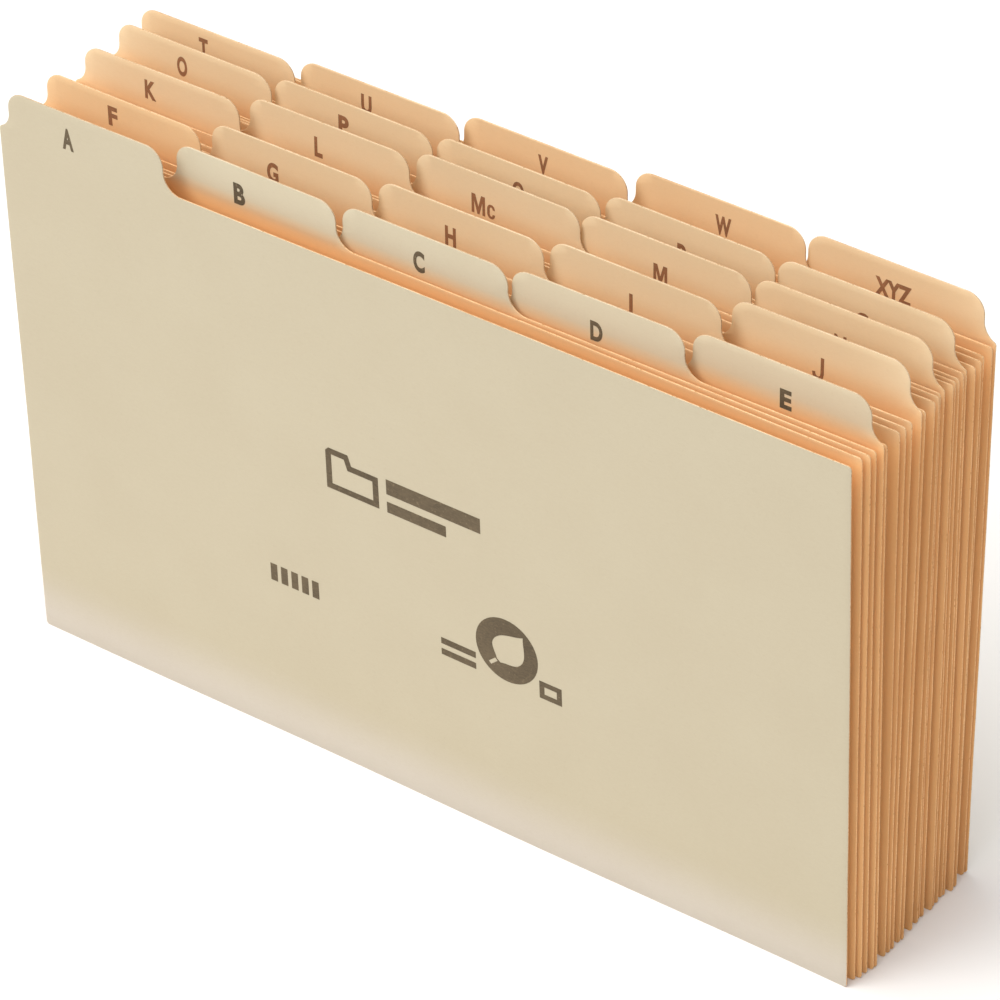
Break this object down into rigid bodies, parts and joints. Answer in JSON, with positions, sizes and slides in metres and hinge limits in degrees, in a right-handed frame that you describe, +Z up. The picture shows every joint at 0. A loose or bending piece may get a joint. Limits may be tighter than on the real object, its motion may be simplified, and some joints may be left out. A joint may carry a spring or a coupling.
{
  "type": "index card guide set",
  "caption": "Loose deck of manila index card guides with staggered A to Z tabs, standing on their long edges; each guide lifts out on its own.",
  "frame": {"origin": "centre of the deck's box at the level of the surface that the guides stand on", "axes": "+X along the guides, left to right as the front guide is read; +Y from the front guide to the rear one; +Z up"},
  "size_m": [0.2048, 0.0488, 0.1332],
  "materials": {
    "manila": "uncoated manila card, buff, faint fibre mottling, paler cut edges",
    "ink": "flat dark brown printing ink"
  },
  "bodies": {
    "guide_a": {"guide_a": "manila"},
    "guide_b": {"guide_b": "manila"},
    "guide_c": {"guide_c": "manila"},
    "guide_d": {"guide_d": "manila"},
    "guide_e": {"guide_e": "manila"},
    "guide_f": {"guide_f": "manila"},
    "guide_g": {"guide_g": "manila"},
    "guide_h": {"guide_h": "manila"},
    "guide_i": {"guide_i": "manila"},
    "guide_j": {"guide_j": "manila"},
    "guide_k": {"guide_k": "manila"},
    "guide_l": {"guide_l": "manila"},
    "guide_mc": {"guide_mc": "manila"},
    "guide_m": {"guide_m": "manila"},
    "guide_n": {"guide_n": "manila"},
    "guide_o": {"guide_o": "manila"},
    "guide_p": {"guide_p": "manila"},
    "guide_q": {"guide_q": "manila"},
    "guide_r": {"guide_r": "manila"},
    "guide_s": {"guide_s": "manila"},
    "guide_t": {"guide_t": "manila"},
    "guide_u": {"guide_u": "manila"},
    "guide_v": {"guide_v": "manila"},
    "guide_w": {"guide_w": "manila"},
    "guide_xyz": {"guide_xyz": "manila"}
  },
  "joints": [
    {"name": "lift_a", "type": "slide", "parent": "guide_f", "child": "guide_a", "axis": [0, -0.0081, 1], "range_m": [0, 0.15]},
    {"name": "lift_b", "type": "slide", "parent": "guide_f", "child": "guide_b", "axis": [0, -0.0024, 1], "range_m": [0, 0.15]},
    {"name": "lift_c", "type": "slide", "parent": "guide_f", "child": "guide_c", "axis": [0, 0, 1], "range_m": [0, 0.15]},
    {"name": "lift_d", "type": "slide", "parent": "guide_f", "child": "guide_d", "axis": [0, -0.0016, 1], "range_m": [0, 0.15]},
    {"name": "lift_e", "type": "slide", "parent": "guide_f", "child": "guide_e", "axis": [0, 0.0008, 1], "range_m": [0, 0.15]},
    {"name": "lift_g", "type": "slide", "parent": "guide_f", "child": "guide_g", "axis": [0, 0.0097, 1], "range_m": [0, 0.15]},
    {"name": "lift_h", "type": "slide", "parent": "guide_f", "child": "guide_h", "axis": [0, 0.0129, 0.9999], "range_m": [0, 0.15]},
    {"name": "lift_i", "type": "slide", "parent": "guide_f", "child": "guide_i", "axis": [-0.0001, 0.0186, 0.9998], "range_m": [0, 0.15]},
    {"name": "lift_j", "type": "slide", "parent": "guide_f", "child": "guide_j", "axis": [-0.0001, 0.0275, 0.9996], "range_m": [0, 0.15]},
    {"name": "lift_k", "type": "slide", "parent": "guide_f", "child": "guide_k", "axis": [-0.0001, 0.0266, 0.9996], "range_m": [0, 0.15]},
    {"name": "lift_l", "type": "slide", "parent": "guide_f", "child": "guide_l", "axis": [-0.0001, 0.0275, 0.9996], "range_m": [0, 0.15]},
    {"name": "lift_mc", "type": "slide", "parent": "guide_f", "child": "guide_mc", "axis": [0.0001, 0.0226, 0.9997], "range_m": [0, 0.15]},
    {"name": "lift_m", "type": "slide", "parent": "guide_f", "child": "guide_m", "axis": [0.0001, 0.0218, 0.9998], "range_m": [0, 0.15]},
    {"name": "lift_n", "type": "slide", "parent": "guide_f", "child": "guide_n", "axis": [0, 0.021, 0.9998], "range_m": [0, 0.15]},
    {"name": "lift_o", "type": "slide", "parent": "guide_f", "child": "guide_o", "axis": [0, 0.0194, 0.9998], "range_m": [0, 0.15]},
    {"name": "lift_p", "type": "slide", "parent": "guide_f", "child": "guide_p", "axis": [0.0001, 0.0202, 0.9998], "range_m": [0, 0.15]},
    {"name": "lift_q", "type": "slide", "parent": "guide_f", "child": "guide_q", "axis": [0.0001, 0.0186, 0.9998], "range_m": [0, 0.15]},
    {"name": "lift_r", "type": "slide", "parent": "guide_f", "child": "guide_r", "axis": [0.0001, 0.0186, 0.9998], "range_m": [0, 0.15]},
    {"name": "lift_s", "type": "slide", "parent": "guide_f", "child": "guide_s", "axis": [0.0001, 0.0178, 0.9998], "range_m": [0, 0.15]},
    {"name": "lift_t", "type": "slide", "parent": "guide_f", "child": "guide_t", "axis": [0, 0.0186, 0.9998], "range_m": [0, 0.15]},
    {"name": "lift_u", "type": "slide", "parent": "guide_f", "child": "guide_u", "axis": [0, 0.0258, 0.9997], "range_m": [0, 0.15]},
    {"name": "lift_v", "type": "slide", "parent": "guide_f", "child": "guide_v", "axis": [0.0001, 0.0331, 0.9995], "range_m": [0, 0.15]},
    {"name": "lift_w", "type": "slide", "parent": "guide_f", "child": "guide_w", "axis": [0, 0.0363, 0.9993], "range_m": [0, 0.15]},
    {"name": "lift_xyz", "type": "slide", "parent": "guide_f", "child": "guide_xyz", "axis": [-0.0001, 0.0355, 0.9994], "range_m": [0, 0.15]}
  ]
}
